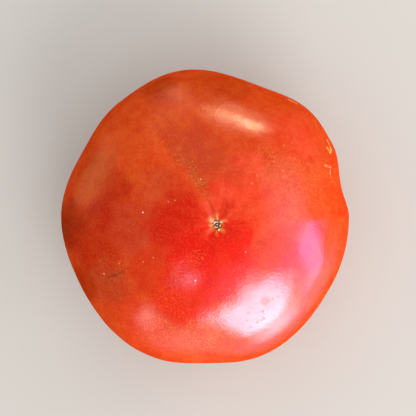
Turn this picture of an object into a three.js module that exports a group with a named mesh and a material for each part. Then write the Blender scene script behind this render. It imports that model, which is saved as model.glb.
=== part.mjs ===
// A ripe beefsteak tomato, picked and without its stalk, standing on its stem end.
// Millimetres, +Z up. The origin is under the middle of the fruit, on the surface it stands on.
import * as THREE from "three";

// Driving dimensions
const CROWN_RISE = 26;
const SHOULDER_DROP = 32;
const CROWN_FULLNESS = 2.2;
const SHOULDER_FULLNESS = 2.35;
const FLESH_RED = 0xd23a1c;
const SKIN_ROUGHNESS = 0.35;

// Crests, grooves and ledges of the lobes at the waist: angle from +X in degrees, radius in millimetres
const LOBES = [
  [12, 42.7],
  [44, 45.6],
  [69, 43.4],
  [101, 45.5],
  [127, 44.0],
  [152, 42.7],
  [179, 44.4],
  [203, 43.8],
  [250, 46.2],
  [269, 45.1],
  [292, 46.1],
  [331, 44.0],
  [359, 44.1],
];
const WAIST_RADIUS = LOBES.reduce((sum, [, radius]) => sum + radius, 0) / LOBES.length;
const WIDEST_RADIUS = Math.max(...LOBES.map(([, radius]) => radius));

// The blossom tip sits off the middle, with a small dimple around its scar
const TIP_SHIFT = new THREE.Vector2(3.3, -2.2);
const TIP_DIMPLE = { radius: 5, depth: 0.9 };

// A shallow valley runs from the blossom tip out between two lobes: steep on its left, slow on its right
const VALLEY = { angle: 113, leftWidth: 16, rightWidth: 45, middle: 22, halfLength: 14, depth: 1.5 };

// The stem end: a hollow round the stem scar, with the lobes standing out as ribs round it
const STEM_HOLLOW = { radius: 12, depth: 10 };
const RIB = { radius: 22, halfWidth: 9, gain: 0.42 };

// How far the ripe flesh flattens where the ribs carry the fruit
const RESTING_FLAT = 0.6;

// Fineness of the surface
const SEGMENTS = 72;
const CROWN_RINGS = 20;
const SHOULDER_RINGS = 24;

const FULL_TURN = 360;
const bump = (distance, width) => Math.exp(-((distance / width) ** 2));
const turnBetween = (a, b) => ((a - b + 1.5 * FULL_TURN) % FULL_TURN) - FULL_TURN / 2;

// Radius at the waist: eased from each crest or groove to the next
function waistRadius(degrees) {
  const angle = (degrees + FULL_TURN) % FULL_TURN;
  const next = LOBES.findIndex(([at]) => at > angle);
  const to = LOBES[next < 0 ? 0 : next];
  const from = LOBES.at(next <= 0 ? -1 : next - 1);
  const span = (to[0] - from[0] + FULL_TURN) % FULL_TURN;
  const share = ((angle - from[0] + FULL_TURN) % FULL_TURN) / span;
  return from[1] + (to[1] - from[1]) * (1 - Math.cos(Math.PI * share)) / 2;
}

// A quarter of the plain round fruit, from the axis out to the waist: a full-bellied ellipse
function quarter(rise, fullness, rings) {
  const points = [];
  for (let i = 0; i < rings; i++) {
    const lean = (Math.PI / 2) * (i / rings);
    const radius = WAIST_RADIUS * Math.sin(lean) ** (2 / fullness);
    points.push(new THREE.Vector2(radius, rise * Math.cos(lean) ** (2 / fullness)));
  }
  return points;
}

// One side of the plain round fruit, from the stem scar up to the blossom tip, with the waist at height 0
function profile() {
  return [
    ...quarter(-SHOULDER_DROP, SHOULDER_FULLNESS, SHOULDER_RINGS),
    new THREE.Vector2(WAIST_RADIUS, 0),
    ...quarter(CROWN_RISE, CROWN_FULLNESS, CROWN_RINGS).reverse(),
  ];
}

// Height added to the crown: the dimple at the tip and the valley
function crownRelief(radius, degrees) {
  const dimple = TIP_DIMPLE.depth * bump(radius, TIP_DIMPLE.radius);
  const turn = turnBetween(degrees, VALLEY.angle);
  const across = bump(turn, turn > 0 ? VALLEY.leftWidth : VALLEY.rightWidth);
  const along = bump(radius - VALLEY.middle, VALLEY.halfLength);
  return -dimple - VALLEY.depth * across * along;
}

// Height added to the shoulder: the stem hollow, and grooves that rise between the ribs
function shoulderRelief(radius, degrees) {
  const hollow = STEM_HOLLOW.depth * bump(radius, STEM_HOLLOW.radius);
  const groove = WIDEST_RADIUS - waistRadius(degrees);
  return hollow + RIB.gain * groove * bump(radius - RIB.radius, RIB.halfWidth);
}

// Moves a point of the plain round fruit to its place on the lobed one
function grow(point) {
  const degrees = THREE.MathUtils.radToDeg(Math.atan2(point.y, point.x));
  const radius = Math.hypot(point.x, point.y);
  const reach = THREE.MathUtils.smoothstep(radius / WAIST_RADIUS, 0, 1);
  const swell = 1 + (waistRadius(degrees) / WAIST_RADIUS - 1) * reach;
  const above = Math.max(0, point.z / CROWN_RISE);
  const below = Math.max(0, -point.z / SHOULDER_DROP);
  point.x = point.x * swell + TIP_SHIFT.x * above ** 2;
  point.y = point.y * swell + TIP_SHIFT.y * above ** 2;
  point.z += crownRelief(radius, degrees) * above + shoulderRelief(radius, degrees) * below;
  return point;
}

function tomato() {
  const skin = new THREE.LatheGeometry(profile(), SEGMENTS).rotateX(Math.PI / 2);
  const places = skin.getAttribute("position");
  const point = new THREE.Vector3();
  for (let i = 0; i < places.count; i++) {
    grow(point.fromBufferAttribute(places, i));
    places.setXYZ(i, point.x, point.y, point.z);
  }

  // Stands the fruit on its ribs, flattened where they touch, over the origin
  skin.computeBoundingBox();
  const middle = skin.boundingBox.getCenter(new THREE.Vector3());
  const floor = skin.boundingBox.min.z + RESTING_FLAT;
  for (let i = 0; i < places.count; i++) {
    point.fromBufferAttribute(places, i);
    places.setXYZ(i, point.x - middle.x, point.y - middle.y, Math.max(0, point.z - floor));
  }
  skin.computeVertexNormals();

  const material = new THREE.MeshStandardMaterial({
    color: FLESH_RED,
    roughness: SKIN_ROUGHNESS,
    metalness: 0,
  });
  const mesh = new THREE.Mesh(skin, material);
  mesh.name = "tomato";
  return mesh;
}

const part = new THREE.Group();
part.add(tomato());

export default part;
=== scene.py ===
# %% [markdown]
# # A ripe beefsteak tomato
# The fruit stands on its stem end, so its blossom end faces up. It is one piece: red skin over flesh,
# with a corky blossom scar on top and a corky stem scar in a hollow below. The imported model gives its
# size and place. This lesson spins a fine skin to that size, presses the small relief into it, and
# builds a skin material out of patterns that follow the fruit.

import math

import bmesh
import bpy
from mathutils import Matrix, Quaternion, Vector, noise
from mathutils.bvhtree import BVHTree


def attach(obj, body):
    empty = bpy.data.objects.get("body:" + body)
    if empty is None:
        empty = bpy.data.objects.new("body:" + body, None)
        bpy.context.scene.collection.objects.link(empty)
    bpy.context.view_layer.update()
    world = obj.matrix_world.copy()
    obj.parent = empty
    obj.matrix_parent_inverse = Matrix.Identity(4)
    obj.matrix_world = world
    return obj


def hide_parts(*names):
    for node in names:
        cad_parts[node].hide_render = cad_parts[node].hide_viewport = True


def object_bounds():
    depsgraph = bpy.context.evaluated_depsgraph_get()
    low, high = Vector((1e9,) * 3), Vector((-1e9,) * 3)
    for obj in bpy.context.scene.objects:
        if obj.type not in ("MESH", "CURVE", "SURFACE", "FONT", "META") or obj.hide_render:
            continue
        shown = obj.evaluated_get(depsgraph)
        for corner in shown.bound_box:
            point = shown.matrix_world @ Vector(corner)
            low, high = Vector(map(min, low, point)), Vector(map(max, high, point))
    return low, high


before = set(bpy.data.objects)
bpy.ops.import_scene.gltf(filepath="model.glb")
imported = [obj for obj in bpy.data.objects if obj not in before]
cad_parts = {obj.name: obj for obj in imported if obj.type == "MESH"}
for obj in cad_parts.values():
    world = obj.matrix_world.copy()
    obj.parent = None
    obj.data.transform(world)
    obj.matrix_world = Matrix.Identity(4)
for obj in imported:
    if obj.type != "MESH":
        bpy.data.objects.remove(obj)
cad_low, cad_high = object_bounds()
MM = 0.001
scene = bpy.context.scene
print("packed fruit, mm:", [round(x / MM, 1) for x in cad_high - cad_low])

# %% [markdown]
# ## The camera
# The photograph looks straight down on the fruit. A camera could be matched by eye, but two measures
# fix it: how many pixels wide the fruit is, and which pixel its middle lies on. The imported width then
# says how long a pixel is at the fruit's waist, and the lens follows from that.

# %% Camera straight above
PHOTO_SIDE = 416
FRUIT_WIDTH_PIXELS = 287.0
FRUIT_MIDDLE_PIXEL = (205.0, 216.3)
CAMERA_HEIGHT = 400 * MM
WAIST_HEIGHT = 29 * MM

metres_per_pixel = (cad_high.x - cad_low.x) / FRUIT_WIDTH_PIXELS
pixels_per_slope = (CAMERA_HEIGHT - WAIST_HEIGHT) / metres_per_pixel
camera_data = bpy.data.cameras.new("photo_camera")
camera_data.lens = camera_data.sensor_width * pixels_per_slope / PHOTO_SIDE
camera = bpy.data.objects.new("photo_camera", camera_data)
camera.location = (
    (PHOTO_SIDE / 2 - FRUIT_MIDDLE_PIXEL[0]) * metres_per_pixel,
    (FRUIT_MIDDLE_PIXEL[1] - PHOTO_SIDE / 2) * metres_per_pixel,
    CAMERA_HEIGHT,
)
scene.collection.objects.link(camera)
scene.camera = camera
print("lens, mm:", round(camera_data.lens, 1))

# %% [markdown]
# ## The lobes
# A beefsteak tomato is not round: its seed chambers swell between grooves. Seen from above that gives
# an outline of crests and grooves, each with its own angle and radius. A handful of those points, eased
# from one to the next by half a cosine wave, is enough: it has no kinks, and each point is plain to read.

# %% Radius of the waist at any angle
LOBES = [
    (12, 42.7),
    (30, 44.9),
    (44, 45.6),
    (69, 43.4),
    (101, 45.5),
    (127, 44.0),
    (152, 42.7),
    (179, 44.4),
    (203, 43.8),
    (250, 46.2),
    (269, 45.1),
    (292, 46.1),
    (331, 44.0),
    (359, 44.1),
]
LOBE_RADII = [radius for _, radius in LOBES]
WAIST_RADIUS = sum(LOBE_RADII) / len(LOBE_RADII)


def waist_radius(degrees):
    """Radius in millimetres at an angle from +X."""
    angle = degrees % 360
    later = next((k for k, (at, _) in enumerate(LOBES) if at > angle), 0)
    (from_angle, from_radius), (to_angle, to_radius) = LOBES[later - 1], LOBES[later]
    share = (angle - from_angle) % 360 / ((to_angle - from_angle) % 360)
    return from_radius + (to_radius - from_radius) * (1 - math.cos(math.pi * share)) / 2


print("waist radius, mm:", min(LOBE_RADII), "to", max(LOBE_RADII))

# %% [markdown]
# ## Relief of the crown
# The crown has a dimple at the blossom tip, a shallow valley with one steep flank, and a fine crease that
# runs into that valley where two chambers meet. Round the scar the skin is drawn into a star of low folds.
# Sculpting could do this, but soft bumps of known width and depth can be placed exactly and changed
# later, so each one is a short function in millimetres and degrees round the tip.

# %% Measures of the crown
STAR_ARMS = [26, 93, 138, 188, 270, 312]
STAR_ARM_WIDTH = 13
STAR_HEIGHT = 0.07
STAR_RADIUS = 2.4
STAR_SPREAD = 1.8
CRATER_DEPTH = 0.4
CRATER_RADIUS = 1.2
CREASE_START = 103
CREASE_BEND = 0.68
CREASE_END = 119
CREASE_DEPTH = 0.12
CREASE_WIDTH = 0.25
CREASE_WIDENING = 0.05
CREASE_REACH = 7
LIP_HEIGHT = 0.05
LIP_OFFSET = 1.6
LIP_WIDTH = 1.2
VALLEY_ANGLE = 113
VALLEY_DEPTH = 1.5
VALLEY_RADIUS = 22
VALLEY_LENGTH = 14
STEEP_FLANK = 16
SLOW_FLANK = 45
DIMPLE_DEPTH = 0.9
DIMPLE_RADIUS = 5

print("folds in the star:", len(STAR_ARMS))

# %% Relief of the crown
def bump(distance, width):
    """A soft bump: 1 at distance 0, fading over width."""
    return math.exp(-((distance / width) ** 2))


def turn_between(a, b):
    """Signed angle from b to a, in degrees."""
    return (a - b + 180) % 360 - 180


def crease_angle(radius):
    """The crease leaves the tip nearly straight up the photograph and bends to the left."""
    return CREASE_START + CREASE_BEND * radius


def crease_relief(radius, degrees):
    """A fine fold, sharp at the tip and wider further out, with its left lip standing a little proud."""
    across = math.radians(turn_between(degrees, crease_angle(radius))) * radius
    fold = CREASE_DEPTH * bump(across, CREASE_WIDTH + CREASE_WIDENING * radius)
    lip = LIP_HEIGHT * bump(across - LIP_OFFSET, LIP_WIDTH)
    return bump(radius - CREASE_REACH, CREASE_REACH) * (lip - fold)


def star_relief(radius, degrees):
    """Low folds that run in to the scar, and the crater that they surround."""
    folds = sum(bump(turn_between(degrees, arm), STAR_ARM_WIDTH) for arm in STAR_ARMS)
    star = STAR_HEIGHT * folds * bump(radius - STAR_RADIUS, STAR_SPREAD)
    return star - CRATER_DEPTH * bump(radius, CRATER_RADIUS)


def valley_relief(radius, degrees):
    """A hollow between two lobes: its left flank is steep, and its right one rises slowly."""
    turn = turn_between(degrees, VALLEY_ANGLE)
    flank = STEEP_FLANK if turn > 0 else SLOW_FLANK
    return -VALLEY_DEPTH * bump(turn, flank) * bump(radius - VALLEY_RADIUS, VALLEY_LENGTH)


def crown_relief(radius, degrees):
    dimple = DIMPLE_DEPTH * bump(radius, DIMPLE_RADIUS)
    folds = crease_relief(radius, degrees) + star_relief(radius, degrees)
    return folds + valley_relief(radius, degrees) - dimple


print("crease depth 8 mm from the tip, mm:", round(crease_relief(8, crease_angle(8)), 2))

# %% [markdown]
# ## Relief of the stem end
# Below, the lobes stand out as ribs round a hollow, and at the bottom of the hollow is the flat corky
# scar that the stalk left: a rim, a shallow dish and the stub of the stalk's core in the middle. Fine
# cracks run out from it. The fruit stands on the ribs, so this side shows only when it is turned over.

# %% Relief of the stem end
STEM_SCAR_RADIUS = 5.5
STEM_RIM_HEIGHT = 0.5
STEM_RIM_WIDTH = 0.7
STEM_CORE_HEIGHT = 0.7
STEM_CORE_RADIUS = 1.3
STEM_CRACKS = [8, 52, 97, 131, 178, 224, 251, 290, 334]
CRACK_DEPTH = 0.3
CRACK_WIDTH = 0.4
CRACK_RADIUS = 7.5
CRACK_LENGTH = 2.2
HOLLOW_DEPTH = 10
HOLLOW_RADIUS = 12
GROOVE_SHARE = 0.42
GROOVE_RADIUS = 22
GROOVE_SPREAD = 9


def stem_scar_relief(radius, degrees):
    """Heights are measured down from the hollow, because the fruit stands on this end."""
    rim = STEM_RIM_HEIGHT * bump(radius - STEM_SCAR_RADIUS, STEM_RIM_WIDTH)
    core = STEM_CORE_HEIGHT * bump(radius, STEM_CORE_RADIUS)
    turn = min(abs(turn_between(degrees, crack)) for crack in STEM_CRACKS)
    spread = math.radians(turn) * radius
    crack = CRACK_DEPTH * bump(spread, CRACK_WIDTH) * bump(radius - CRACK_RADIUS, CRACK_LENGTH)
    return crack - rim - core


def shoulder_relief(radius, degrees):
    """The hollow, the grooves that part the ribs, and the scar."""
    hollow = HOLLOW_DEPTH * bump(radius, HOLLOW_RADIUS)
    waist_groove = max(LOBE_RADII) - waist_radius(degrees)
    grooves = GROOVE_SHARE * waist_groove * bump(radius - GROOVE_RADIUS, GROOVE_SPREAD)
    return hollow + grooves + stem_scar_relief(radius, degrees)


print("stem scar rim, mm:", round(-stem_scar_relief(STEM_SCAR_RADIUS, 30), 2))

# %% [markdown]
# ## Spinning the skin
# One side of the plain fruit is a chain of vertices from the stem scar up to the blossom tip. Spinning
# the chain once round gives clean rings that meet at the two scars, which is how the fruit itself grows.
# The rings lie closer together near the scars, where the relief is fine.

# %% Spin the plain fruit
CROWN_RISE = 26.0
SHOULDER_DROP = 32.0
CROWN_FULLNESS = 2.2
SHOULDER_FULLNESS = 2.35
CROWN_RINGS = 120
SHOULDER_RINGS = 100
SPIN_STEPS = 288
CROWDING = 1.5
MERGE_DISTANCE = 1e-4


def quarter(rise, fullness, rings):
    """Points from the axis out to the waist: a full-bellied ellipse, with close rings at the axis."""
    leans = [(k / rings) ** CROWDING * math.pi / 2 for k in range(rings)]
    power = 2 / fullness
    return [(WAIST_RADIUS * math.sin(a) ** power, rise * math.cos(a) ** power) for a in leans]


side = quarter(-SHOULDER_DROP, SHOULDER_FULLNESS, SHOULDER_RINGS)
side += [(WAIST_RADIUS, 0.0)]
side += reversed(quarter(CROWN_RISE, CROWN_FULLNESS, CROWN_RINGS))

fruit = bmesh.new()
chain = [fruit.verts.new((radius, 0, height)) for radius, height in side]
links = [fruit.edges.new(pair) for pair in zip(chain, chain[1:])]
bmesh.ops.spin(
    fruit, geom=chain + links, cent=(0, 0, 0), axis=(0, 0, 1),
    angle=2 * math.pi, steps=SPIN_STEPS, use_merge=True,
)
bmesh.ops.remove_doubles(fruit, verts=fruit.verts, dist=MERGE_DISTANCE)
bmesh.ops.recalc_face_normals(fruit, faces=fruit.faces)
print("rings and spokes:", len(side), "by", SPIN_STEPS)

# %% [markdown]
# ## Growing the lobes
# Each vertex of the plain fruit now moves to its place on the lobed one: out to its lobe, sideways with
# the blossom tip, which sits off the middle, and up or down with the relief. Then the fruit is stood on
# its ribs, and the little that would sink below the surface is pressed flat, as ripe flesh is.

# %% Grow the lobes and stand the fruit on its ribs
TIP_SHIFT = Vector((3.3, -2.2))
RESTING_FLAT = 0.6


def smooth_step(x):
    """Eases from 0 at x = 0 to 1 at x = 1."""
    x = min(1, max(0, x))
    return x * x * (3 - 2 * x)


def grow(point):
    """Moves a point of the plain round fruit, in millimetres, to its place on the lobed one."""
    degrees = math.degrees(math.atan2(point.y, point.x))
    radius = math.hypot(point.x, point.y)
    swell = 1 + (waist_radius(degrees) / WAIST_RADIUS - 1) * smooth_step(radius / WAIST_RADIUS)
    above = max(0, point.z / CROWN_RISE)
    below = max(0, -point.z / SHOULDER_DROP)
    lift = crown_relief(radius, degrees) * above + shoulder_relief(radius, degrees) * below
    x = point.x * swell + TIP_SHIFT.x * above**2
    y = point.y * swell + TIP_SHIFT.y * above**2
    return Vector((x, y, point.z + lift))


fruit.verts.ensure_lookup_table()
tip_vertex = max(fruit.verts, key=lambda v: v.co.z)
stem_vertex = min(fruit.verts, key=lambda v: v.co.z)
for v in fruit.verts:
    v.co = grow(v.co)
lowest = Vector(min(v.co[k] for v in fruit.verts) for k in range(3))
highest = Vector(max(v.co[k] for v in fruit.verts) for k in range(3))
standing = Vector(((lowest.x + highest.x) / 2, (lowest.y + highest.y) / 2, lowest.z + RESTING_FLAT))
for v in fruit.verts:
    v.co = (v.co - standing) * MM
tip = tip_vertex.co.copy()
stem = stem_vertex.co.copy()
print("blossom tip, mm:", [round(x / MM, 1) for x in tip])
print("stem scar, mm:", [round(x / MM, 1) for x in stem])

# %% [markdown]
# ## Dents and unevenness
# No part of a real skin is a perfect curve. A slow unevenness, a few tenths of a millimetre high, bends
# the reflections the way they bend on the fruit. A few single dents are placed by the pixel they have in
# the photograph: a ray from the camera through that pixel finds the point of the skin. Each dent has a
# width and a depth in millimetres.

# %% Press dents into the skin
DENTS = [
    ((112, 279), 6.0, 0.45),
    ((268, 300), 1.2, 0.10),
    ((258, 318), 1.0, 0.06),
    ((312, 158), 2.0, 0.12),
]
UNEVENNESS = [(0.16 * MM, 11 * MM), (0.02 * MM, 3.5 * MM)]
CALM_HEIGHT = 4 * MM

skin_tree = BVHTree.FromBMesh(fruit)


def on_skin(pixel):
    """The point of the skin that the camera sees at a pixel of the photograph."""
    across = (pixel[0] - PHOTO_SIDE / 2) / pixels_per_slope
    up = (PHOTO_SIDE / 2 - pixel[1]) / pixels_per_slope
    return skin_tree.ray_cast(camera.location, Vector((across, up, -1)))[0]


fruit.normal_update()
dents = [(on_skin(pixel), width * MM, depth * MM) for pixel, width, depth in DENTS]
for v in fruit.verts:
    uneven = sum(height * noise.noise(v.co / length) for height, length in UNEVENNESS)
    sunk = sum(depth * bump((v.co - centre).length, width) for centre, width, depth in dents)
    v.co += v.normal * (uneven * smooth_step(v.co.z / CALM_HEIGHT) - sunk)
    v.co.z = max(v.co.z, 0)
print("dents, mm:", [[round(x / MM) for x in centre] for centre, _, _ in dents])

# %% [markdown]
# ## The skin as an object
# The finished form becomes one object. It is seen in place of the imported fruit and rides on the same
# body, so that the models stay one thing. Its faces are shaded smooth, because a skin has no edges. The
# tree of faces is built again, so that later rays meet the dented skin.

# %% Make the skin an object
skin_mesh = bpy.data.meshes.new("tomato_skin")
fruit.to_mesh(skin_mesh)
skin_tree = BVHTree.FromBMesh(fruit)
fruit.free()
for polygon in skin_mesh.polygons:
    polygon.use_smooth = True
skin = bpy.data.objects.new("tomato_skin", skin_mesh)
scene.collection.objects.link(skin)
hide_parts("tomato")
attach(skin, "root")
print("skin faces:", len(skin_mesh.polygons))

# %% [markdown]
# ## Crumbs in the blossom scar
# Where the flower dropped off, a few dry crumbs of cork are left in a small brown crater. Painting them
# would look flat at this size, so each is a little ball, stretched and roughened, half sunk in the skin.
# Each has a place right of and above the tip, a half length and half width in millimetres, and a turn.

# %% Cork crumbs
CRUMBS = [
    ((-0.62, 0.62), (0.52, 0.22), 52),
    ((0.12, 0.74), (0.44, 0.17), 14),
    ((1.15, 0.80), (0.32, 0.27), -35),
    ((-1.05, 0.02), (0.27, 0.17), 75),
    ((-0.48, -0.66), (0.36, 0.20), -52),
    ((0.98, -0.28), (0.40, 0.19), 78),
    ((0.66, -1.45), (0.38, 0.30), 48),
    ((0.14, -0.02), (0.34, 0.16), 25),
    ((0.10, -0.80), (0.24, 0.15), -20),
]
CRUMB_HEIGHT = 0.20
CRUMB_ROUGHNESS = 0.14
CRUMB_LUMPS = 1.7
CRUMB_FINENESS = 3

crumbs = bmesh.new()
for (right, up), (length, width), turn in CRUMBS:
    overhead = Vector((tip.x + right * MM, tip.y + up * MM, CAMERA_HEIGHT))
    seat = skin_tree.ray_cast(overhead, Vector((0, 0, -1)))[0]
    ball = bmesh.ops.create_icosphere(crumbs, subdivisions=CRUMB_FINENESS, radius=1)["verts"]
    c, s = math.cos(math.radians(turn)), math.sin(math.radians(turn))
    for v in ball:
        x, y, z = v.co.x * length, v.co.y * width, v.co.z * CRUMB_HEIGHT
        rough = CRUMB_ROUGHNESS * noise.noise(v.co * CRUMB_LUMPS + Vector((right, up, turn)))
        swollen = Vector((x * c - y * s, x * s + y * c, z)) + v.co * rough
        v.co = seat + swollen * MM
crumbs_mesh = bpy.data.meshes.new("blossom_scar")
bmesh.ops.recalc_face_normals(crumbs, faces=crumbs.faces)
crumbs.to_mesh(crumbs_mesh)
crumbs.free()
for polygon in crumbs_mesh.polygons:
    polygon.use_smooth = True
blossom_scar = bpy.data.objects.new("blossom_scar", crumbs_mesh)
scene.collection.objects.link(blossom_scar)
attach(blossom_scar, "root")
print("crumbs:", len(CRUMBS), "faces:", len(crumbs_mesh.polygons))

# %% [markdown]
# ## Wiring shader nodes
# The skin material is made of some hundreds of small nodes. Wiring each one by hand hides the idea behind
# the plumbing, so short helpers do it: one adds any node, and the others give the sums, fades, blends and
# soft noise that are used most.

# %% Helpers for node trees
def add_node(tree, kind, inputs=None, **settings):
    """Adds a node. Each input is given a value, or linked if it is another node's output."""
    made = tree.nodes.new(kind)
    for name, value in settings.items():
        setattr(made, name, value)
    for name, value in (inputs or {}).items():
        if isinstance(value, bpy.types.NodeSocket):
            tree.links.new(value, made.inputs[name])
        else:
            made.inputs[name].default_value = value
    return made


def calc(tree, operation, *numbers, clamp=False):
    inputs = dict(enumerate(numbers))
    return add_node(tree, "ShaderNodeMath", inputs, operation=operation, use_clamp=clamp).outputs[0]


def vector(tree, operation, *vectors, output="Vector"):
    inputs = dict(enumerate(vectors))
    return add_node(tree, "ShaderNodeVectorMath", inputs, operation=operation).outputs[output]


def fade(tree, value, start, end):
    """1 at start, easing to 0 at end."""
    inputs = {"Value": value, "From Min": start, "From Max": end, "To Min": 1.0, "To Max": 0.0}
    return add_node(tree, "ShaderNodeMapRange", inputs, interpolation_type="SMOOTHSTEP").outputs["Result"]


def blend(tree, share, below, above, mode="MIX"):
    """Lays one colour over another by a share from 0 to 1."""
    inputs = {"Factor": share, 6: below, 7: above}
    return add_node(tree, "ShaderNodeMix", inputs, data_type="RGBA", blend_type=mode).outputs[2]


def cloud(tree, place, size, detail=2.0, roughness=0.5):
    """Soft noise from 0 to 1 with lumps of a size in metres."""
    inputs = {"Vector": place, "Scale": 1 / size, "Detail": detail, "Roughness": roughness}
    return add_node(tree, "ShaderNodeTexNoise", inputs).outputs["Fac"]


def colour(red, green, blue):
    return (red, green, blue, 1.0)


print("node helpers:", [helper.__name__ for helper in (add_node, calc, vector, fade, blend, cloud)])

# %% [markdown]
# ## Patterns used more than once
# Two patterns come back in several places. Flecks are small dots, scattered with gaps, for the specks of
# cork in the russet and the pits in the wax. Polar gives the distance and the angle round a point, for
# the rays at the blossom tip and the cracks at the stem. Each is a node group, built once.

# %% Fleck group
SMALLEST_FLECK = 0.4
FLECK_CORE = 0.5


def new_group(name, inputs, outputs):
    tree = bpy.data.node_groups.new(name, "ShaderNodeTree")
    for label, kind in inputs:
        tree.interface.new_socket(label, in_out="INPUT", socket_type=kind)
    for label, kind in outputs:
        tree.interface.new_socket(label, in_out="OUTPUT", socket_type=kind)
    return tree, tree.nodes.new("NodeGroupInput").outputs, tree.nodes.new("NodeGroupOutput").inputs


flecks, given, result = new_group(
    "flecks",
    [("Vector", "NodeSocketVector"), ("Density", "NodeSocketFloat"), ("Size", "NodeSocketFloat"),
     ("Amount", "NodeSocketFloat")],
    [("Mask", "NodeSocketFloat")],
)
cells = add_node(flecks, "ShaderNodeTexVoronoi", {"Vector": given["Vector"], "Scale": given["Density"]})
chance = add_node(flecks, "ShaderNodeSeparateColor", {"Color": cells.outputs["Color"]}).outputs
kept = calc(flecks, "LESS_THAN", chance["Red"], given["Amount"])
reach = calc(flecks, "MULTIPLY", given["Size"], calc(flecks, "ADD", chance["Green"], SMALLEST_FLECK))
dot = fade(flecks, cells.outputs["Distance"], calc(flecks, "MULTIPLY", reach, FLECK_CORE), reach)
flecks.links.new(calc(flecks, "MULTIPLY", dot, kept), result["Mask"])
print("nodes in the fleck group:", len(flecks.nodes))

# %% Polar group
polar, given, result = new_group(
    "polar",
    [("Vector", "NodeSocketVector"), ("Centre", "NodeSocketVector")],
    [("Radius", "NodeSocketFloat"), ("Angle", "NodeSocketFloat"), ("Direction", "NodeSocketVector")],
)
offset = vector(polar, "SUBTRACT", given["Vector"], given["Centre"])
level = vector(polar, "MULTIPLY", offset, (1, 1, 0))
parts = add_node(polar, "ShaderNodeSeparateXYZ", {0: level}).outputs
polar.links.new(vector(polar, "LENGTH", level, output="Value"), result["Radius"])
polar.links.new(calc(polar, "ARCTAN2", parts["Y"], parts["X"]), result["Angle"])
polar.links.new(vector(polar, "NORMALIZE", level), result["Direction"])


def add_group(tree, group, inputs):
    return add_node(tree, "ShaderNodeGroup", inputs, node_tree=group).outputs


print("nodes in the polar group:", len(polar.nodes))

# %% [markdown]
# ## Ripening colours of the skin, with painted shade and light
# A tomato ripens unevenly. Round the blossom tip it is deep red, the shoulders stay more orange, and each
# lobe has its own turn. The patches are soft spots of colour, each placed by its pixel in the photograph,
# with the radius in millimetres where it is full and where it ends. Not all of them are ripening: some
# darken the left side and the rims at the top with painted shade, two brighten the upper left and the
# bottom left with painted light, and two dull ones on the left are greyed by a painted sheen.
# The place is disturbed by noise first, so that no patch is round.

# %% Ripeness patches, some of them painted shade and light
PLAIN_RED = colour(0.53, 0.048, 0.008)
PATCHES = [
    # Partly the skin's own orange, partly painted light that brightens the upper left.
    ("orange upper left", (132, 146), 9, 22, colour(0.58, 0.056, 0.006), 1.0),
    # Painted shade that darkens the left side.
    ("painted shade beside the left sheen", (94, 178), 3, 11, colour(0.46, 0.046, 0.002), 0.9),
    ("orange top", (185, 104), 5, 15, colour(0.56, 0.054, 0.005), 1.0),
    # Both rims at the top are darkened by painted shade, partly over brown skin.
    ("brown top rim", (225, 82), 4, 14, colour(0.43, 0.038, 0.003), 1.0),
    ("dark top left rim", (158, 86), 2, 9, colour(0.37, 0.032, 0.001), 0.8),
    ("orange top right rim", (280, 103), 3, 11, colour(0.53, 0.043, 0.004), 0.9),
    ("red upper right", (295, 132), 5, 12, colour(0.59, 0.043, 0.010), 0.9),
    ("orange right", (300, 190), 6, 15, colour(0.56, 0.058, 0.011), 0.9),
    ("orange right rim", (338, 200), 3, 9, colour(0.55, 0.046, 0.007), 0.9),
    ("orange bottom", (205, 352), 5, 15, colour(0.55, 0.056, 0.012), 0.9),
    # Painted light that brightens the bottom left rim.
    ("bright bottom left", (145, 335), 4, 12, colour(0.60, 0.047, 0.010), 0.9),
    ("red lower left", (130, 310), 3, 9, colour(0.56, 0.032, 0.006), 0.9),
    # These darken the left side and its rim with painted shade, over the skin's own deep red and olive.
    # The two dull ones are also greyed by a painted milky sheen.
    ("dull above the left", (157, 188), 2, 9, colour(0.48, 0.043, 0.010), 0.8),
    ("dull left", (130, 230), 4, 12, colour(0.44, 0.034, 0.010), 0.9),
    ("dark upper left lobe", (116, 190), 2, 8, colour(0.43, 0.021, 0.002), 0.9),
    ("dark left lobe", (102, 214), 2, 8, colour(0.40, 0.012, 0.001), 0.9),
    ("dark left rim", (74, 230), 3, 11, colour(0.32, 0.012, 0.001), 0.9),
    ("dark left edge", (64, 226), 2, 11, colour(0.25, 0.022, 0.004), 0.8),
    ("dark low left", (96, 252), 4, 11, colour(0.40, 0.017, 0.001), 0.9),
    ("dark low left rim", (84, 280), 3, 9, colour(0.34, 0.022, 0.001), 0.9),
    ("olive dent", (108, 280), 2, 9, colour(0.36, 0.036, 0.009), 0.8),
    ("red beside the dent", (150, 268), 3, 9, colour(0.50, 0.025, 0.004), 0.9),
    ("red right of the tip", (276, 264), 4, 13, colour(0.56, 0.028, 0.006), 0.8),
    ("red left of the tip", (180, 222), 6, 13, colour(0.47, 0.008, 0.001), 1.0),
    ("red below the tip", (212, 262), 8, 16, colour(0.60, 0.006, 0.002), 1.0),
    ("coral right of the tip", (258, 208), 4, 12, colour(0.64, 0.046, 0.014), 0.9),
    ("red beside the tip", (234, 236), 3, 7, colour(0.62, 0.006, 0.003), 0.9),
    ("red low left", (180, 298), 4, 11, colour(0.58, 0.010, 0.001), 0.9),
    ("coral above the tip", (226, 196), 3, 9, colour(0.69, 0.046, 0.018), 0.9),
    ("coral beside the valley", (246, 166), 2, 8, colour(0.66, 0.056, 0.022), 0.8),
]
PATCH_LUMP = 7 * MM
PATCH_WANDER = 12 * MM

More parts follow.
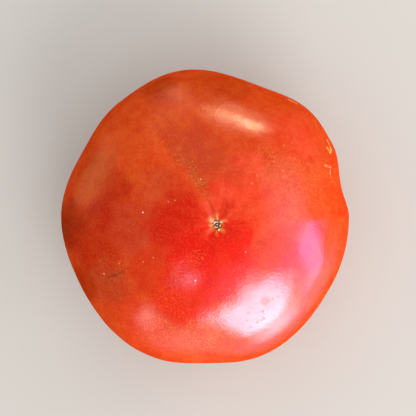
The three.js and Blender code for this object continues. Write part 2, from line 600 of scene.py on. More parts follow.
material = bpy.data.materials.new("tomato_skin")
material.use_nodes = True
tree = material.node_tree
shader = tree.nodes["Principled BSDF"]
place = add_node(tree, "ShaderNodeTexCoord").outputs["Object"]
lump = add_node(tree, "ShaderNodeTexNoise", {"Vector": place, "Scale": 1 / PATCH_LUMP, "Detail": 4.0})
push = vector(tree, "SUBTRACT", lump.outputs["Color"], (0.5, 0.5, 0.5))
disturbed = vector(tree, "MULTIPLY_ADD", push, (PATCH_WANDER,) * 3, place)


def product(*masks):
    """Several masks at once."""
    total = masks[0]
    for mask in masks[1:]:
        total = calc(tree, "MULTIPLY", total, mask)
    return total


skin_colour = PLAIN_RED
for _, pixel, inner, outer, tone, share in PATCHES:
    away = vector(tree, "DISTANCE", disturbed, on_skin(pixel), output="Value")
    mask = product(fade(tree, away, inner * MM, outer * MM), share)
    skin_colour = blend(tree, mask, skin_colour, tone)
print("patches of ripeness, painted shade and light:", len(PATCHES))

# %% [markdown]
# ## Mottling
# Between the patches the colour is never even. Clouds of every size, from half a centimetre down to a
# fraction of a millimetre, make the skin a little darker and redder, or a little lighter and more orange.

# %% Mottling
DARK_MOTTLE = colour(0.94, 0.62, 0.45)
LIGHT_MOTTLE = colour(1.06, 1.38, 1.55)
MOTTLE_LUMP = 4.5 * MM

mottle = cloud(tree, place, MOTTLE_LUMP, detail=5.0, roughness=0.85)
mottle_tone = blend(tree, fade(tree, mottle, 0.3, 0.7), LIGHT_MOTTLE, DARK_MOTTLE)
skin_colour = blend(tree, 1.0, skin_colour, mottle_tone, mode="MULTIPLY")
print("largest mottling, mm:", round(MOTTLE_LUMP / MM, 1))

# %% [markdown]
# ## Streaks round the blossom tip
# Veins under the skin run out from the tip, so the colour is streaked like spokes. Noise read along the
# direction from the tip, and hardly along the radius, gives spokes that widen outwards.

# %% Streaks
PALE_STREAK = colour(0.66, 0.050, 0.016)
RED_STREAK = colour(0.44, 0.005, 0.001)
STREAK_CROWDING = 3.0
STREAK_LENGTH = 12 * MM
STREAKS_FULL = 6 * MM
STREAKS_END = 30 * MM
PALE_STREAK_SHARE = 0.3
RED_STREAK_SHARE = 0.45

around_tip = add_group(tree, polar, {"Vector": place, "Centre": tip})
lengths = calc(tree, "DIVIDE", around_tip["Radius"], STREAK_LENGTH)
outwards = add_node(tree, "ShaderNodeCombineXYZ", {"Z": lengths}).outputs[0]
spokes = vector(tree, "MULTIPLY_ADD", around_tip["Direction"], (STREAK_CROWDING,) * 3, outwards)
streak = cloud(tree, spokes, 1.0, detail=3.0, roughness=0.6)
near_tip = fade(tree, around_tip["Radius"], STREAKS_FULL, STREAKS_END)
pale_share = product(fade(tree, streak, 0.75, 0.45), near_tip, PALE_STREAK_SHARE)
red_share = product(fade(tree, streak, 0.25, 0.55), near_tip, RED_STREAK_SHARE)
skin_colour = blend(tree, pale_share, skin_colour, PALE_STREAK)
skin_colour = blend(tree, red_share, skin_colour, RED_STREAK)
print("streaks end, mm from the tip:", round(STREAKS_END / MM))

# %% [markdown]
# ## Rays at the blossom tip
# Close to the scar single rays stand out. Short yellow arms reach out of the scar along the folds, and
# longer light and dark streaks lie between them. Each ray has an angle, a width in degrees and the two
# radii, in millimetres, between which it fades.

# %% Rays
YELLOW_ARM = colour(0.80, 0.36, 0.10)
ORANGE_ARM = colour(0.68, 0.20, 0.025)
PALE_ARM = colour(0.78, 0.20, 0.10)
BRIGHT_STREAK = colour(0.60, 0.005, 0.002)
RAYS = [
    (128, 22, 4.0, 9.5, PALE_STREAK, 0.45),
    (99, 12, 5.0, 9.0, PALE_STREAK, 0.5),
    (165, 18, 2.5, 7.0, PALE_STREAK, 0.5),
    (222, 20, 3.0, 7.5, PALE_STREAK, 0.6),
    (86, 9, 4.0, 7.0, PALE_STREAK, 0.6),
    (22, 16, 6.0, 11.0, PALE_STREAK, 0.3),
    (58, 24, 5.0, 10.0, RED_STREAK, 0.75),
    (176, 16, 8.0, 12.0, RED_STREAK, 0.5),
    (262, 40, 6.0, 10.0, RED_STREAK, 0.3),
    (330, 30, 5.0, 10.0, RED_STREAK, 0.35),
    (182, 18, 3.5, 7.0, PALE_STREAK, 0.45),
    (290, 26, 6.5, 10.0, BRIGHT_STREAK, 0.7),
]
ARMS = [
    (26, 20, 1.4, 4.0, YELLOW_ARM, 0.7),
    (93, 17, 1.6, 4.0, YELLOW_ARM, 0.8),
    (140, 34, 1.8, 3.7, YELLOW_ARM, 0.9),
    (186, 24, 1.2, 2.8, YELLOW_ARM, 0.8),
    (222, 14, 1.6, 4.5, PALE_ARM, 0.5),
    (270, 12, 1.6, 4.0, ORANGE_ARM, 0.7),
    (314, 24, 1.8, 3.9, ORANGE_ARM, 1.0),
]
WAVER = 0.8
WAVER_LUMP = 1.5 * MM

sway = calc(tree, "SUBTRACT", cloud(tree, place, WAVER_LUMP), 0.5)
waver = calc(tree, "MULTIPLY", sway, WAVER)
ray_angle = calc(tree, "ADD", around_tip["Angle"], waver)


def ray(angle_now, radius_now, angle, width, inner, outer):
    """A mask that is 1 along a ray, and fades to its sides and to its end."""
    turned = calc(tree, "SUBTRACT", angle_now, math.radians(angle))
    wrapped = calc(tree, "WRAP", turned, math.pi, -math.pi)
    beside = fade(tree, calc(tree, "ABSOLUTE", wrapped), 0.0, math.radians(width))
    return product(beside, fade(tree, radius_now, inner * MM, outer * MM))


for angle, width, inner, outer, tone, share in RAYS + ARMS:
    mask = ray(ray_angle, around_tip["Radius"], angle, width, inner, outer)
    skin_colour = blend(tree, product(mask, share), skin_colour, tone)
print("rays:", len(RAYS), "arms:", len(ARMS))

# %% [markdown]
# ## Valley and crease
# The fold at the tip is darkened along a thin line, which is painted shade in the crease. Further out it
# runs into the valley: a band of russet, which is brownish skin with fine beige specks of cork, and to its
# right a dull brownish red that is partly painted shade of the hollow, with a line of painted shade along
# its steep left flank. All four masks use the distance across the curve that pressed the fold, so the
# colour lies in it. A pair of numbers says where a mask is full and where it has gone, in millimetres.

# %% Distance across the crease
RAGGEDNESS = 5.0
RAGGED_LUMP = 1.2 * MM

radius_mm = calc(tree, "DIVIDE", around_tip["Radius"], MM)
bend = calc(tree, "MULTIPLY_ADD", radius_mm, math.radians(CREASE_BEND), math.radians(CREASE_START))
bend = calc(tree, "MINIMUM", bend, math.radians(CREASE_END))
off_angle = calc(tree, "SUBTRACT", around_tip["Angle"], bend)
off_angle = calc(tree, "WRAP", off_angle, math.pi, -math.pi)
across_mm = calc(tree, "MULTIPLY", off_angle, radius_mm)
ragged = calc(tree, "SUBTRACT", cloud(tree, place, RAGGED_LUMP, detail=3.0), 0.5)
ragged_mm = calc(tree, "MULTIPLY_ADD", ragged, RAGGEDNESS, across_mm)
print("the crease bends from", CREASE_START, "to", CREASE_END, "degrees")

# %% Valley with painted shade, and painted shade along the crease
VALLEY_RED_AND_SHADE = colour(0.44, 0.042, 0.014)
VALLEY_LEFT = (0.2, 2.4)
VALLEY_RIGHT = (-6.0, -17.0)
VALLEY_START = (20.0, 11.0)
VALLEY_END = (26.0, 37.0)
VALLEY_SHARE = 0.95
CREASE_SHADE = colour(0.34, 0.018, 0.003)
LINE_SIDES = (0.1, 0.6)
LINE_END = (5.5, 9.5)
LINE_SHARE = 0.55
EDGE_OFFSET = 1.3
EDGE_SIDES = (0.2, 1.3)
EDGE_START = (25.0, 19.0)
EDGE_END = (31.0, 39.0)
EDGE_SHARE = 0.35

valley = product(
    fade(tree, ragged_mm, *VALLEY_LEFT), fade(tree, ragged_mm, *VALLEY_RIGHT),
    fade(tree, radius_mm, *VALLEY_START), fade(tree, radius_mm, *VALLEY_END),
)
patchy = fade(tree, mottle, 0.4, 0.8)
# The valley's dull red is partly painted shade of the hollow.
skin_colour = blend(tree, product(valley, patchy, VALLEY_SHARE), skin_colour, VALLEY_RED_AND_SHADE)
from_line = calc(tree, "ABSOLUTE", across_mm)
# A thin line of painted shade darkens the crease.
line = product(fade(tree, from_line, *LINE_SIDES), fade(tree, radius_mm, *LINE_END), LINE_SHARE)
skin_colour = blend(tree, line, skin_colour, CREASE_SHADE)
# A line of painted shade runs along the valley's steep left flank.
from_edge = calc(tree, "ABSOLUTE", calc(tree, "SUBTRACT", ragged_mm, EDGE_OFFSET))
valley_edge_shade = product(
    fade(tree, from_edge, *EDGE_SIDES),
    fade(tree, radius_mm, *EDGE_START), fade(tree, radius_mm, *EDGE_END), EDGE_SHARE,
)
skin_colour = blend(tree, valley_edge_shade, skin_colour, CREASE_SHADE)
print("the valley reaches, mm from the tip:", VALLEY_START[1], "to", VALLEY_END[1])

# %% Russet
RUSSET = colour(0.34, 0.042, 0.008)
RUSSET_SPECK = colour(0.52, 0.11, 0.026)
RUSSET_SIDES = (math.radians(3.5), math.radians(9.0))
RUSSET_START = (10.0, 5.5)
RUSSET_END = (18.0, 29.0)
RUSSET_PATCH = 2.2 * MM
RUSSET_GRAIN = 0.5 * MM
RUSSET_SHARE = 0.75
PALE_SPECK = colour(0.72, 0.27, 0.09)
SPECK_SPACING = 0.9 * MM
SPECK_SIZE = 0.3
SPECK_AMOUNT = 0.4
SPECK_SHARE = 0.5

ragged_turn = calc(tree, "ABSOLUTE", calc(tree, "DIVIDE", ragged_mm, radius_mm))
russet = product(
    fade(tree, ragged_turn, *RUSSET_SIDES),
    fade(tree, radius_mm, *RUSSET_START), fade(tree, radius_mm, *RUSSET_END),
    fade(tree, cloud(tree, place, RUSSET_PATCH, detail=2.0), 0.58, 0.36),
)
russet_grain = cloud(tree, place, RUSSET_GRAIN, detail=2.0, roughness=0.6)
russet_tone = blend(tree, fade(tree, russet_grain, 0.40, 0.62), RUSSET_SPECK, RUSSET)
skin_colour = blend(tree, product(russet, RUSSET_SHARE), skin_colour, russet_tone)
specks = add_group(tree, flecks, {
    "Vector": place, "Density": 1 / SPECK_SPACING, "Size": SPECK_SIZE, "Amount": SPECK_AMOUNT,
})
skin_colour = blend(tree, product(specks["Mask"], russet, SPECK_SHARE), skin_colour, PALE_SPECK)
print("the russet reaches, mm from the tip:", RUSSET_START[1], "to", RUSSET_END[1])

# %% [markdown]
# ## Grain of the skin
# Close up the skin is stippled in grains well under a millimetre across, light orange and dark red. The
# grain is plain only in a few places and faint elsewhere, so a few soft spots, placed by their pixels, say
# how plain it is.

# %% Grain
LIGHT_GRAIN = colour(0.68, 0.140, 0.030)
DARK_GRAIN = colour(0.42, 0.006, 0.001)
GRAIN_SPOTS = [
    ((172, 300), 9, 0.55),
    ((156, 333), 10, 0.9),
    ((197, 258), 5, 1.0),
    ((205, 335), 12, 1.0),
    ((268, 158), 6, 0.9),
    ((300, 190), 17, 0.6),
    ((112, 272), 9, 0.6),
]
FAINT_GRAIN = 0.24
GRAIN_CORE = 0.3
GRAIN_LUMP = 0.5 * MM
LIGHT_GRAIN_SHARE = 0.6
DARK_GRAIN_SHARE = 0.55

presence = FAINT_GRAIN
for pixel, reach, share in GRAIN_SPOTS:
    away = vector(tree, "DISTANCE", disturbed, on_skin(pixel), output="Value")
    spot = product(fade(tree, away, GRAIN_CORE * reach * MM, reach * MM), share)
    presence = calc(tree, "MAXIMUM", presence, spot)
grains = cloud(tree, place, GRAIN_LUMP, detail=2.0, roughness=0.6)
light_grains = product(fade(tree, grains, 0.68, 0.48), presence, LIGHT_GRAIN_SHARE)
dark_grains = product(fade(tree, grains, 0.32, 0.52), presence, DARK_GRAIN_SHARE)
skin_colour = blend(tree, light_grains, skin_colour, LIGHT_GRAIN)
skin_colour = blend(tree, dark_grains, skin_colour, DARK_GRAIN)
print("spots of plain grain:", len(GRAIN_SPOTS))

# %% [markdown]
# ## Scratches and specks
# A fruit that has been handled has a few marks of its own. Each is a short path through pixels of the
# photograph, or a single pixel, with a half width in millimetres. The mask is the distance of the skin
# from that path. Noise makes a path waver and breaks it here and there, as a scratch in skin is broken.

# %% Marks
PALE_SCAR = colour(0.86, 0.50, 0.28)
YELLOW_SCAR = colour(0.80, 0.42, 0.10)
BROWN_SCAR = colour(0.16, 0.03, 0.008)
PALE_FLECK = colour(0.82, 0.28, 0.11)
WHITE_SPECK = colour(0.95, 0.85, 0.80)
RED_SPOT = colour(0.52, 0.016, 0.002)
MARKS = [
    ("outer hook scratch", YELLOW_SCAR, 0.32, 0.95, [(327.2, 139.9), (330.6, 147.6), (331.2, 150.5)]),
    ("inner hook scratch", YELLOW_SCAR, 0.32, 0.95, [(331.2, 150.5), (330.0, 153.0), (327.3, 147.5)]),
    ("curved scratch", PALE_SCAR, 0.32, 0.38, [(325.0, 165.4), (328.5, 166.6), (331.3, 167.8)]),
    ("end of the curved scratch", PALE_SCAR, 0.32, 0.34, [(330.6, 170.0), (330.2, 173.0), (331.0, 176.6)]),
    ("flaw on the rim", YELLOW_SCAR, 0.36, 0.95, [(288.9, 99.5), (293.4, 102.0), (296.9, 103.6)]),
    ("brown scratch", BROWN_SCAR, 0.38, 0.8, [(105.5, 275.5), (109.0, 277.0), (115.5, 275.0)]),
    ("thin end of the brown scratch", BROWN_SCAR, 0.32, 0.6, [(116.0, 274.8), (123.0, 271.5)]),
    ("pale end of the brown scratch", PALE_SCAR, 0.34, 0.45, [(104.0, 273.8)]),
    ("brown spot", BROWN_SCAR, 0.40, 0.5, [(127.5, 268.6), (130.5, 267.0)]),
    ("small brown spot", BROWN_SCAR, 0.34, 0.3, [(135.5, 263.0)]),
    ("red spot", RED_SPOT, 1.20, 0.7, [(310.6, 158.4)]),
    ("white speck, left", WHITE_SPECK, 0.20, 0.9, [(142.9, 212.4)]),
    ("white speck, below", WHITE_SPECK, 0.22, 1.0, [(195.5, 280.5)]),
    ("bright fleck in the russet", PALE_SCAR, 0.24, 0.6, [(200.8, 179.2)]),
]
PALE_FLECKS = [
    (294.6, 158.8), (273.6, 161.3), (283.8, 145.4), (257.3, 175.7), (283.0, 170.9), (251.8, 183.4),
    (119.3, 263.5), (153.4, 257.8), (143.2, 262.0), (174.9, 200.4), (168.5, 201.7), (245.7, 252.1),
]
MARKS += [("pale fleck", PALE_FLECK, 0.32, 0.35, [pixel]) for pixel in PALE_FLECKS]
MARK_LUMP = 1.1 * MM
MARK_WANDER = 0.7 * MM
MARK_GAP = 0.9 * MM
SPOT_CORE, SPOT_EDGE = 0.4, 1.3
PATH_CORE, PATH_EDGE = 0.2, 1.5

shiver = add_node(tree, "ShaderNodeTexNoise", {"Vector": place, "Scale": 1 / MARK_LUMP, "Detail": 3.0})
push = vector(tree, "SUBTRACT", shiver.outputs["Color"], (0.5, 0.5, 0.5))
shaken = vector(tree, "MULTIPLY_ADD", push, (MARK_WANDER,) * 3, place)
unbroken = fade(tree, cloud(tree, place, MARK_GAP, detail=2.0), 0.52, 0.34)


def distance_from(points):
    """How far the skin is from a path through points of it."""
    nearest = vector(tree, "DISTANCE", shaken, points[0], output="Value")
    for start, end in zip(points, points[1:]):
        along = end - start
        reach = vector(tree, "DOT_PRODUCT", vector(tree, "SUBTRACT", shaken, start), along, output="Value")
        share = calc(tree, "DIVIDE", reach, along.length_squared, clamp=True)
        foot = vector(tree, "MULTIPLY_ADD", share, along, start)
        nearest = calc(tree, "MINIMUM", nearest, vector(tree, "DISTANCE", shaken, foot, output="Value"))
    return nearest


for _, tone, half_width, share, pixels in MARKS:
    points = [on_skin(pixel) for pixel in pixels]
    if len(points) == 1:
        away = vector(tree, "DISTANCE", place, points[0], output="Value")
        mask = fade(tree, away, SPOT_CORE * half_width * MM, SPOT_EDGE * half_width * MM)
    else:
        away = distance_from(points)
        inked = fade(tree, away, PATH_CORE * half_width * MM, PATH_EDGE * half_width * MM)
        mask = product(inked, unbroken)
    skin_colour = blend(tree, product(mask, share), skin_colour, tone)
print("marks:", len(MARKS))

# %% [markdown]
# ## Shoulders and stem end
# Towards the stem the skin turns orange, then yellow-green, because the shoulders ripen last. In the
# hollow is the dry scar of the stalk: tan cork with a dark rim, and brown cracks that run out of it into
# the skin.

# %% Shoulder colours
SHOULDER_ORANGE = colour(0.50, 0.070, 0.007)
HOLLOW_YELLOW = colour(0.38, 0.150, 0.020)
ORANGE_HEIGHTS = (4 * MM, 22 * MM)
YELLOW_DISTANCES = (7 * MM, 17 * MM)

height = add_node(tree, "ShaderNodeSeparateXYZ", {0: disturbed}).outputs["Z"]
shoulder_tone = blend(tree, 1.0, SHOULDER_ORANGE, mottle_tone, mode="MULTIPLY")
skin_colour = blend(tree, fade(tree, height, *ORANGE_HEIGHTS), skin_colour, shoulder_tone)
from_stem = vector(tree, "DISTANCE", disturbed, stem, output="Value")
skin_colour = blend(tree, fade(tree, from_stem, *YELLOW_DISTANCES), skin_colour, HOLLOW_YELLOW)
print("the shoulders' orange ends at a height, mm, of:", round(ORANGE_HEIGHTS[1] / MM))

# %% Stem scar
CORK_TAN = colour(0.40, 0.25, 0.12)
CORK_DARK = colour(0.12, 0.055, 0.022)
STEM_END_HEIGHTS = (15 * MM, 20 * MM)
SCAR_EDGE = (5.2 * MM, 6.2 * MM)
SCAR_RAGGEDNESS = 1.6 * MM
SCAR_LUMP = 2 * MM
CORK_GRAIN = 0.8 * MM
CRACK_HALF_ANGLE = 5
CRACK_FADE = (6.0, 11.0)
CRACK_SHARE = 0.8

around_stem = add_group(tree, polar, {"Vector": place, "Centre": stem})
stem_radius = around_stem["Radius"]
below = fade(tree, height, *STEM_END_HEIGHTS)
uneven_radius = calc(tree, "MULTIPLY_ADD", cloud(tree, place, SCAR_LUMP), SCAR_RAGGEDNESS, stem_radius)
cracks = 0.0
for angle in STEM_CRACKS:
    crack = ray(around_stem["Angle"], stem_radius, angle, CRACK_HALF_ANGLE, *CRACK_FADE)
    cracks = calc(tree, "MAXIMUM", cracks, crack)
cork_mask = product(fade(tree, uneven_radius, *SCAR_EDGE), below)
cork_grain = cloud(tree, place, CORK_GRAIN, detail=4.0, roughness=0.7)
cork_tone = blend(tree, fade(tree, cork_grain, 0.40, 0.58), CORK_TAN, CORK_DARK)
skin_colour = blend(tree, product(cracks, below, CRACK_SHARE), skin_colour, CORK_DARK)
skin_colour = blend(tree, cork_mask, skin_colour, cork_tone)
print("cracks at the stem:", len(STEM_CRACKS))

# %% [markdown]
# ## Crater of the blossom scar
# The crumbs lie in a small ragged crater of brown cork. It is the last colour laid on the skin.

# %% Crater
CRATER_BROWN = colour(0.17, 0.055, 0.018)
CRUST_YELLOW = colour(0.50, 0.160, 0.030)
CRATER_RAGGEDNESS = 2.6
CRATER_LUMP = 0.8 * MM
CRUST_EDGE = (2.4, 3.9)
CRUST_SHARE = 0.55
CRATER_EDGE = (2.2, 2.9)

crater_lumps = cloud(tree, place, CRATER_LUMP, detail=3.0)
crater_radius = calc(tree, "MULTIPLY_ADD", crater_lumps, CRATER_RAGGEDNESS, radius_mm)
crust = product(fade(tree, crater_radius, *CRUST_EDGE), CRUST_SHARE)
skin_colour = blend(tree, crust, skin_colour, CRUST_YELLOW)
crater = fade(tree, crater_radius, *CRATER_EDGE)
skin_colour = blend(tree, crater, skin_colour, CRATER_BROWN)
tree.links.new(skin_colour, shader.inputs["Base Color"])
print("nodes in the skin's colour:", len(tree.nodes))

# %% [markdown]
# ## Gloss of the skin
# A thin wax layer gives a tomato its gloss. The shader's coat is that wax, and the skin below it is left
# matt, so that one layer draws all the reflections. Cork has no wax, and the wax is rubbed thin or pitted
# in a few spots, each with its pixel, its reach in millimetres and its share.

# %% Where the wax is thin
RUBBED_SPOTS = [
    ((265.5, 300.5), 2.0, 0.3),
]
PITS = [
    (278.0, 296.5), (272.6, 298.8), (262.9, 311.8), (264.4, 318.4), (261.6, 320.4), (256.6, 322.4),
    (250.5, 326.9), (246.7, 320.6), (217.3, 316.1), (218.6, 313.3),
]
PIT_REACH = 0.38
PIT_SHARE = 0.6
RUBBED_SPOTS += [(pixel, PIT_REACH, PIT_SHARE) for pixel in PITS]
PITTED_SPOTS = [
    ((252, 316), 11, 0.25),
    ((184, 276), 8, 0.4),
]
PORE_SPACING = 0.9 * MM
PORE_SIZE = 0.4
PORE_AMOUNT = 0.6
RUSSET_DULLNESS = 0.5
THIN_CORE = 0.5


def near_spot(pixel, reach):
    """1 at the point of the skin at a pixel, fading to 0 over a reach in millimetres."""
    away = vector(tree, "DISTANCE", place, on_skin(pixel), output="Value")
    return fade(tree, away, THIN_CORE * reach * MM, reach * MM)


dull = calc(tree, "MAXIMUM", crater, cork_mask)
dull = calc(tree, "MAXIMUM", dull, product(russet, RUSSET_DULLNESS))
for pixel, reach, share in RUBBED_SPOTS:
    dull = calc(tree, "MAXIMUM", dull, product(near_spot(pixel, reach), share))
pores = add_group(tree, flecks, {
    "Vector": place, "Density": 1 / PORE_SPACING, "Size": PORE_SIZE, "Amount": PORE_AMOUNT,
})
for pixel, reach, share in PITTED_SPOTS:
    dull = calc(tree, "MAXIMUM", dull, product(pores["Mask"], near_spot(pixel, reach), share))
print("rubbed spots and pits:", len(RUBBED_SPOTS), "pitted areas:", len(PITTED_SPOTS))

# %% [markdown]
# ## Wax seen at a slant
# A coat flares up where it is seen at a slant, and the strong lights would burn out the crown in a view
# from the side. So the coat is divided by the flare it would have, and held back further at a grazing
# slant. Real wax flares more than this.

# %% Wax
WAX = 0.9
WAX_ROUGHNESS = 0.15
SLANT_POWER = 5.0
FLARE_OF_WAX = 24.0
GRAZING_GLOSS = 0.3
GRAZING_SLANTS = (0.42, 0.68)
SKIN_ROUGHNESS = 0.45
CORK_ROUGHNESS = 0.85

waxed = calc(tree, "MULTIPLY_ADD", dull, -WAX, WAX)
slant = add_node(tree, "ShaderNodeLayerWeight", {"Blend": 0.5}).outputs["Facing"]
flare = calc(tree, "POWER", slant, SLANT_POWER)
upright = fade(tree, slant, *GRAZING_SLANTS)
allowed = calc(tree, "MULTIPLY_ADD", upright, 1.0 - GRAZING_GLOSS, GRAZING_GLOSS)
expected = calc(tree, "MULTIPLY_ADD", flare, FLARE_OF_WAX, 1.0)
held_back = calc(tree, "MULTIPLY", waxed, calc(tree, "DIVIDE", allowed, expected))
tree.links.new(held_back, shader.inputs["Coat Weight"])
roughness = calc(tree, "MULTIPLY_ADD", dull, CORK_ROUGHNESS - SKIN_ROUGHNESS, SKIN_ROUGHNESS)
tree.links.new(roughness, shader.inputs["Roughness"])
shader.inputs["Specular IOR Level"].default_value = 0.0
shader.inputs["Coat Roughness"].default_value = WAX_ROUGHNESS
print("wax:", WAX, "facing the eye, and", GRAZING_GLOSS, "of that at a grazing slant")

# %% [markdown]
# ## Bumps in the skin
# Fine bumps break up the edges of the reflections: grains about half a millimetre across, and slow waves
# a few millimetres long. They are too low to change the outline, so they only turn the shaded surface.

# %% Bumps
GRAIN_HEIGHT = 0.044 * MM
GRAIN_LENGTH = 0.55 * MM
WAVE_HEIGHT = 0.02 * MM
WAVE_LENGTH = 2.5 * MM
BUMP_STRENGTH = 0.7

grain_relief = calc(tree, "MULTIPLY", cloud(tree, place, GRAIN_LENGTH, detail=1.0), GRAIN_HEIGHT)
wave_relief = calc(tree, "MULTIPLY", cloud(tree, place, WAVE_LENGTH, detail=1.0), WAVE_HEIGHT)
relief = calc(tree, "ADD", grain_relief, wave_relief)
bumps = add_node(tree, "ShaderNodeBump", {"Strength": BUMP_STRENGTH, "Distance": 1.0, "Height": relief})
tree.links.new(bumps.outputs[0], shader.inputs["Normal"])
tree.links.new(bumps.outputs[0], shader.inputs["Coat Normal"])
skin_mesh.materials.append(material)
print("nodes in the skin material:", len(tree.nodes))

# %% [markdown]
# ## Cork of the crumbs
# Dry cork is matt: pale on its ridges and brown in its pores. It has no wax, so the crumbs have a material
# of their own, with one soft noise between the two colours.

# %% Cork of the crumbs
PALE_CORK = colour(0.72, 0.55, 0.40)
BROWN_CORK = colour(0.24, 0.10, 0.05)
CRUMB_GRAIN = 0.7 * MM
CRUMB_MATTNESS = 0.75

cork = bpy.data.materials.new("cork")
cork.use_nodes = True
cork_tree = cork.node_tree
cork_shader = cork_tree.nodes["Principled BSDF"]
cork_place = add_node(cork_tree, "ShaderNodeTexCoord").outputs["Object"]
cork_lumps = cloud(cork_tree, cork_place, CRUMB_GRAIN, detail=4.0, roughness=0.65)
cork_colour = blend(cork_tree, fade(cork_tree, cork_lumps, 0.36, 0.60), PALE_CORK, BROWN_CORK)
cork_tree.links.new(cork_colour, cork_shader.inputs["Base Color"])
cork_shader.inputs["Roughness"].default_value = CRUMB_MATTNESS
crumbs_mesh.materials.append(cork)
print("nodes in the cork:", len(cork_tree.nodes))

# %% [markdown]
# ## The floor
# The fruit stands on a plain pale floor, which throws light back on its flanks. The floor is matt, and the
# gloss does not see it, because its reflection would lay a white band round the waist.

# %% Floor
FLOOR_REACH = 2
FLOOR_DROP = 0.1 * MM
FLOOR_COLOUR = colour(0.48, 0.47, 0.455)

floor_mesh = bpy.data.meshes.new("floor")
floor_form = bmesh.new()
bmesh.ops.create_grid(floor_form, x_segments=1, y_segments=1, size=FLOOR_REACH)
floor_form.to_mesh(floor_mesh)
floor_form.free()
floor = bpy.data.objects.new("floor", floor_mesh)
floor.location.z = -FLOOR_DROP
floor.visible_glossy = False
scene.collection.objects.link(floor)
floor_material = bpy.data.materials.new("pale_floor")
floor_material.use_nodes = True
floor_shader = floor_material.node_tree.nodes["Principled BSDF"]
floor_shader.inputs["Base Color"].default_value = FLOOR_COLOUR
floor_shader.inputs["Roughness"].default_value = 1.0
floor_shader.inputs["Specular IOR Level"].default_value = 0.0
floor_mesh.materials.append(floor_material)
print("floor, m across:", [round(x, 1) for x in floor.dimensions.xy])

# %% [markdown]
# ## The sky
# There are two skies in one. The matt colours are lit by a pale dome, a little dimmer at the back left.
# The gloss sees a dim warm room instead, with a lighter side and a low glow at the front right, because
# the pale dome would lay a grey film over the red. The kind of ray says which of the two it meets.

# %% Sky
SKY_LIGHT = colour(1.25, 1.22, 1.18)
DIM_SKY = colour(0.88, 0.86, 0.83)
DARK_ROOM = colour(0.26, 0.07, 0.01)
LIGHT_SIDE = colour(0.80, 0.26, 0.32)
LOW_GLOW = colour(2.8, 2.0, 3.2)
TOWARDS_LIGHT_SIDE = (0.50, -0.87, 0.0)
TOWARDS_LOW_GLOW = (0.63, -0.71, -0.32)

world = bpy.data.worlds.new("studio")
scene.world = world
world.use_nodes = True
sky_tree = world.node_tree
sky = sky_tree.nodes["Background"]
looking = add_node(sky_tree, "ShaderNodeTexCoord").outputs["Generated"]
facing = vector(sky_tree, "DOT_PRODUCT", looking, TOWARDS_LIGHT_SIDE, output="Value")
room = blend(sky_tree, fade(sky_tree, facing, 0.9, 0.2), DARK_ROOM, LIGHT_SIDE)
facing_glow = vector(sky_tree, "DOT_PRODUCT", looking, TOWARDS_LOW_GLOW, output="Value")
room = blend(sky_tree, fade(sky_tree, facing_glow, 1.0, 0.74), room, LOW_GLOW)
dome = blend(sky_tree, fade(sky_tree, facing, 0.8, -0.8), DIM_SKY, SKY_LIGHT)
in_gloss = add_node(sky_tree, "ShaderNodeLightPath").outputs["Is Glossy Ray"]
sky_tree.links.new(blend(sky_tree, in_gloss, dome, room), sky.inputs["Color"])
print("nodes in the sky:", len(sky_tree.nodes))

# %% [markdown]
# ## Soft boxes
# The boxes for gloss draw the reflections: a broad cool one where the window was, a violet one at the
# right, a warm lamp behind, and dim ones for the faint sheens. The boxes for light shade the matt colours.
# They stand further back, so that the floor is lit evenly. Each box has an azimuth and an elevation in
# degrees, a size in metres, a turn, the share of it that is full, a tint and a strength.

# %% Soft boxes
BOX_DISTANCE = 0.9
FAR_BOX_DISTANCE = 2.7
BLUE_WHITE = (0.55, 0.73, 1.0)
COOL = (0.65, 0.80, 1.0)
PINK = (0.70, 0.72, 1.0)
MAUVE = (0.60, 0.42, 1.0)
VIOLET = (0.45, 0.05, 1.0)
WARM = (1.0, 0.95, 0.58)
WARM_WHITE = (1.0, 0.90, 0.64)
AMBER = (1.0, 0.82, 0.42)
NEUTRAL = (1.0, 0.97, 0.93)
GLOSS_BOXES = [
    ("window", -61.5, 32.5, (0.82, 0.76), 18, 0.56, BLUE_WHITE, 23.5),
    ("window_corner", -73, 51, (0.66, 0.18), 45, 0.30, BLUE_WHITE, 11),
    ("window_foot", -54, 6, (0.74, 0.84), -10, 0.00, COOL, 13),
    ("window_glow", -57, 60, (0.70, 0.50), 0, 0.00, COOL, 1.7),
    ("pink_glow", -32, 24, (1.20, 1.10), 0, 0.00, PINK, 1.3),
    ("front_glow", -97, 8, (1.20, 1.20), 0, 0.00, COOL, 1.8),
    ("high_glow", 5, 52, (1.20, 0.80), 0, 0.00, COOL, 2.0),
    ("violet_box", -18.5, 20, (0.34, 0.88), -24, 0.75, MAUVE, 7.4),
    ("violet_glow", -15, 31, (0.84, 1.16), 0, 0.00, VIOLET, 4.2),
    ("lamp", 81, 35, (0.44, 0.26), 45, 0.00, WARM, 10.5),
    ("lamp_end", 70, 31, (0.09, 0.21), -18, 0.20, WARM, 36),
    ("lamp_foot", 73, 20, (0.12, 0.22), -25, 0.30, WARM, 4.5),
    ("left_sheen", 159, 6, (0.66, 1.00), 0, 0.00, AMBER, 1.2),
    ("top_sheen", 108, 18, (0.50, 1.20), 0, 0.00, WARM_WHITE, 1.4),
    ("small_sheen", -116, 63, (0.14, 0.24), 0, 0.30, COOL, 6.6),
    ("tall_sheen", -125, 22, (0.19, 0.54), 0, 0.10, NEUTRAL, 4.6),
]
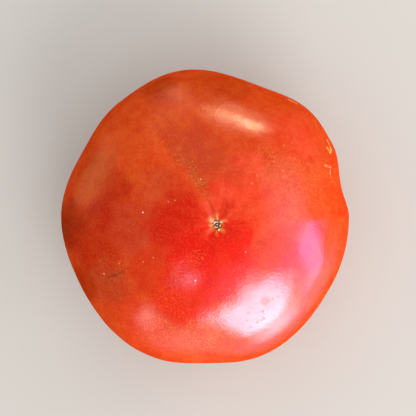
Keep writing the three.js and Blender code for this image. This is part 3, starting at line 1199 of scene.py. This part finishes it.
MATT_BOXES = [
    ("window_light", -62, 30, (0.66, 0.60), 0, 0.80, NEUTRAL, 5.0),
    ("right_fill", -25, 14, (0.70, 0.40), 0, 0.80, NEUTRAL, 4.8),
    ("low_fill", -58, 8, (0.70, 0.35), 0, 0.80, NEUTRAL, 3.5),
    ("back_fill", 90, 22, (0.60, 0.40), 0, 0.80, NEUTRAL, 1.6),
    ("right_back_fill", 35, 15, (0.60, 0.40), 0, 0.80, NEUTRAL, 5.0),
]


def softbox(name, azimuth, elevation, size, turn, core, tint, radiance, distance=BOX_DISTANCE, gloss=True):
    """An area light that faces the fruit, and either shows in its gloss or lights its matt colour.

    Its light is full in the core, a share of its half width, and fades from there to its rounded edge.
    The size is the one it would have at BOX_DISTANCE: further away it grows to look the same.
    """
    data = bpy.data.lights.new(name, "AREA")
    data.shape = "RECTANGLE"
    data.size, data.size_y = [span * distance / BOX_DISTANCE for span in size]
    data.color = tint
    data.energy = radiance * data.size * data.size_y * math.pi
    data.use_nodes = True
    spot = add_node(data.node_tree, "ShaderNodeNewGeometry").outputs["Parametric"]
    centred = vector(data.node_tree, "MULTIPLY_ADD", spot, (2, 2, 0), (-1, -1, 0))
    squared = vector(data.node_tree, "MULTIPLY", centred, centred)
    edge = calc(data.node_tree, "SQRT", vector(data.node_tree, "LENGTH", squared, output="Value"))
    strength = data.node_tree.nodes["Emission"].inputs["Strength"]
    data.node_tree.links.new(fade(data.node_tree, edge, core, 1.0), strength)
    light = bpy.data.objects.new(name, data)
    a, e = math.radians(azimuth), math.radians(elevation)
    towards = Vector((math.cos(a) * math.cos(e), math.sin(a) * math.cos(e), math.sin(e)))
    light.location = Vector((0, 0, WAIST_HEIGHT)) + towards * distance
    light.rotation_mode = "QUATERNION"
    light.rotation_quaternion = towards.to_track_quat("Z", "Y") @ Quaternion((0, 0, 1), math.radians(turn))
    light.visible_camera = False
    light.visible_glossy = gloss
    light.visible_diffuse = not gloss
    scene.collection.objects.link(light)


for box in GLOSS_BOXES:
    softbox(*box)
for box in MATT_BOXES:
    softbox(*box, distance=FAR_BOX_DISTANCE, gloss=False)
scene.view_settings.view_transform = "Standard"
print("soft boxes:", len(GLOSS_BOXES), "for gloss and", len(MATT_BOXES), "for light")
